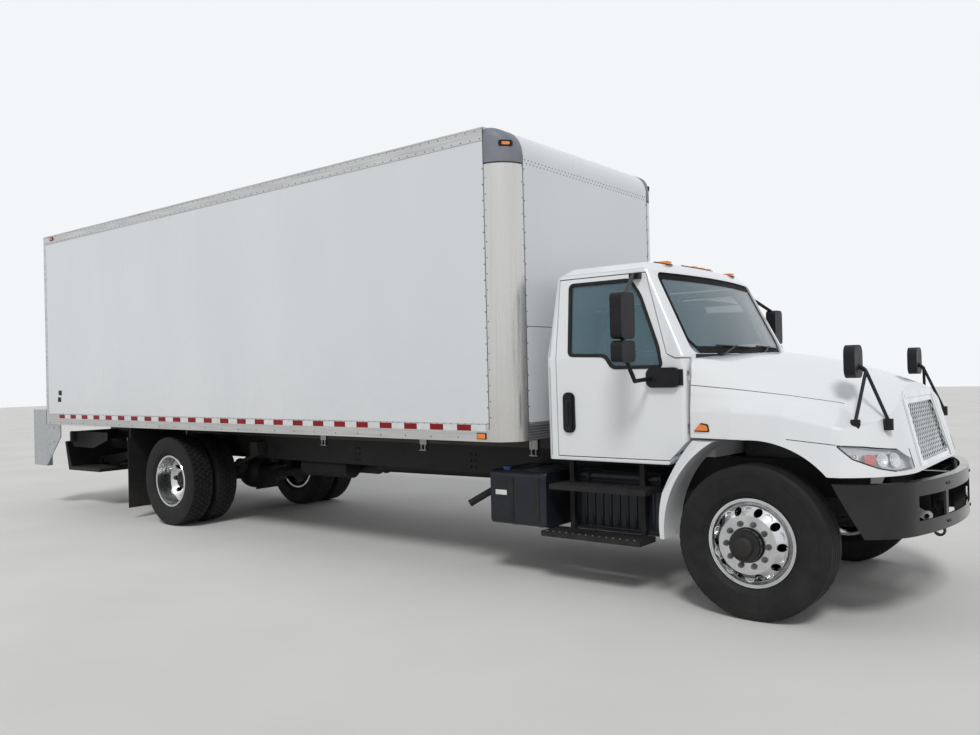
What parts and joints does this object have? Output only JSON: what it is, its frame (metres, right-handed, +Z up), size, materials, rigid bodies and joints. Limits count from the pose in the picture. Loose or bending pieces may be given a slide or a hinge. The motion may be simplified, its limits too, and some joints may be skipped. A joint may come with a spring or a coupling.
{
  "type": "box truck",
  "caption": "Medium box truck with a conventional cab, tilting hood, hollow van body with rounded front corners, and a folding platform liftgate under the tail.",
  "frame": {"origin": "on the ground under the middle of the whole vehicle", "axes": "+X forward, +Y to the driver's side, +Z up"},
  "size_m": [11.308, 3.164, 3.7198],
  "materials": {
    "white_paint": "gloss white enamel",
    "white_panel": "smooth white laminate, faintly soiled",
    "rail_aluminium": "mill finish",
    "cap_grey": "dull grey",
    "chassis_black": "satin black",
    "cast_black": "rough cast",
    "engine_metal": "rough cast",
    "spring_steel": "dark scale",
    "wheel_alloy": "polished",
    "tyre": "matte",
    "tank_aluminium": "bright",
    "black_plastic": "grained",
    "window_glass": "tinted",
    "lamp_clear": "clear lens",
    "grille_chrome": "bright",
    "bumper_black": "semi-gloss black",
    "trim_grey": "grained",
    "seat_fabric": "woven",
    "floor_wood": "laminated hardwood",
    "flap_rubber": "matte",
    "gate_steel": "galvanised",
    "platform_black": "worn black",
    "rod_chrome": "ground",
    "amber_lens": "amber",
    "red_lens": "red"
  },
  "bodies": {
    "root": {"frame_rails": "chassis_black", "crossmembers": "chassis_black", "engine_and_gearbox": "engine_metal", "driveshaft": "chassis_black", "front_axle_beam": "chassis_black", "leaf_springs": "spring_steel", "rear_axle": "chassis_black", "fuel_tank": "tank_aluminium", "side_boxes": "black_plastic", "air_tanks": "chassis_black", "cab_steps": "black_plastic", "cab_shell": "white_paint", "cab_glass": "window_glass", "bumper": "bumper_black", "fender_extensions": "white_paint", "dashboard": "trim_grey", "seats": "seat_fabric", "steering_wheel": "black_plastic", "box_floor": "floor_wood", "box_side_panels": "white_panel", "box_rails": "rail_aluminium", "box_front_wall": "white_panel", "box_roof": "white_panel", "box_corner_posts": "rail_aluminium", "box_corner_caps": "cap_grey", "rear_frame": "rail_aluminium", "roll_up_door": "white_panel", "mud_flaps": "flap_rubber", "liftgate_posts": "gate_steel", "liftgate_frame": "chassis_black", "amber_lamps": "amber_lens", "red_lamps": "red_lens"},
    "wheel_front_left": {"front_wheel_left": "wheel_alloy", "front_tyre_left": "tyre"},
    "wheel_front_right": {"front_wheel_right": "wheel_alloy", "front_tyre_right": "tyre"},
    "wheels_rear_left": {"rear_wheels_left": "wheel_alloy", "rear_tyres_left": "tyre"},
    "wheels_rear_right": {"rear_wheels_right": "wheel_alloy", "rear_tyres_right": "tyre"},
    "knuckle_left": {"knuckle_left": "cast_black"},
    "knuckle_right": {"knuckle_right": "cast_black"},
    "tie_rod": {"tie_rod": "chassis_black"},
    "door_left": {"door_left": "white_paint", "door_glass_left": "window_glass", "door_mirror_left": "black_plastic"},
    "door_right": {"door_right": "white_paint", "door_glass_right": "window_glass", "door_mirror_right": "black_plastic"},
    "hood": {"hood": "white_paint", "headlamps": "lamp_clear", "grille": "grille_chrome", "hood_mirrors": "black_plastic"},
    "lift_arms": {"lift_arms": "chassis_black"},
    "lift_platform": {"lift_platform": "platform_black"},
    "lift_cylinders": {"lift_cylinders": "chassis_black"},
    "lift_rods": {"lift_rods": "rod_chrome"}
  },
  "joints": [
    {"name": "steer_left", "type": "hinge", "parent": "root", "child": "knuckle_left", "pos_m": [4.579, 0.88, 0.518], "axis": [0, 0, 1], "range_deg": [-38, 38]},
    {"name": "steer_right", "type": "hinge", "parent": "root", "child": "knuckle_right", "pos_m": [4.579, -0.88, 0.518], "axis": [0, 0, 1], "range_deg": [-38, 38]},
    {"name": "tie_rod_pivot", "type": "hinge", "parent": "knuckle_left", "child": "tie_rod", "pos_m": [4.379, 0.88, 0.385], "axis": [0, 0, 1], "range_deg": [-38, 38]},
    {"name": "front_wheel_left_spin", "type": "hinge", "parent": "knuckle_left", "child": "wheel_front_left", "pos_m": [4.579, 1.07, 0.518], "axis": [0, 1, 0], "continuous": true},
    {"name": "front_wheel_right_spin", "type": "hinge", "parent": "knuckle_right", "child": "wheel_front_right", "pos_m": [4.579, -1.07, 0.518], "axis": [0, 1, 0], "continuous": true},
    {"name": "rear_wheels_left_spin", "type": "hinge", "parent": "root", "child": "wheels_rear_left", "pos_m": [-2.381, 0.929, 0.518], "axis": [0, 1, 0], "continuous": true},
    {"name": "rear_wheels_right_spin", "type": "hinge", "parent": "root", "child": "wheels_rear_right", "pos_m": [-2.381, -0.929, 0.518], "axis": [0, 1, 0], "continuous": true},
    {"name": "door_left_hinge", "type": "hinge", "parent": "root", "child": "door_left", "pos_m": [4.059, 1.035, 1.45], "axis": [0, 0, -1], "range_deg": [0, 60]},
    {"name": "door_right_hinge", "type": "hinge", "parent": "root", "child": "door_right", "pos_m": [4.059, -1.035, 1.45], "axis": [0, 0, 1], "range_deg": [0, 60]},
    {"name": "hood_tilt", "type": "hinge", "parent": "root", "child": "hood", "pos_m": [5.513, 0, 0.68], "axis": [0, 1, 0], "range_deg": [0, 60]},
    {"name": "lift_arm_swing", "type": "hinge", "parent": "root", "child": "lift_arms", "pos_m": [-4.374, 0, 0.69], "axis": [0, -1, 0], "range_deg": [0, 45]},
    {"name": "platform_level", "type": "hinge", "parent": "lift_arms", "child": "lift_platform", "pos_m": [-5.094, 0, 0.6], "axis": [0, -1, 0], "range_deg": [-45, 0]},
    {"name": "cylinder_swing", "type": "hinge", "parent": "root", "child": "lift_cylinders", "pos_m": [-4.174, 0, 0.63], "axis": [0, -1, 0], "range_deg": [0, 29.74]},
    {"name": "rod_slide", "type": "slide", "parent": "lift_cylinders", "child": "lift_rods", "axis": [-0.9964, 0, -0.0846], "range_m": [-0.09583, 0]}
  ],
  "couplings": [
    {"joint": "steer_right", "follows": "steer_left", "ratio": 1},
    {"joint": "tie_rod_pivot", "follows": "steer_left", "ratio": -1},
    {"joint": "platform_level", "follows": "lift_arm_swing", "ratio": -1},
    {"joint": "cylinder_swing", "follows": "lift_arm_swing", "ratio": 0.66072},
    {"joint": "rod_slide", "follows": "lift_arm_swing", "m_per_rad": -0.12188}
  ]
}
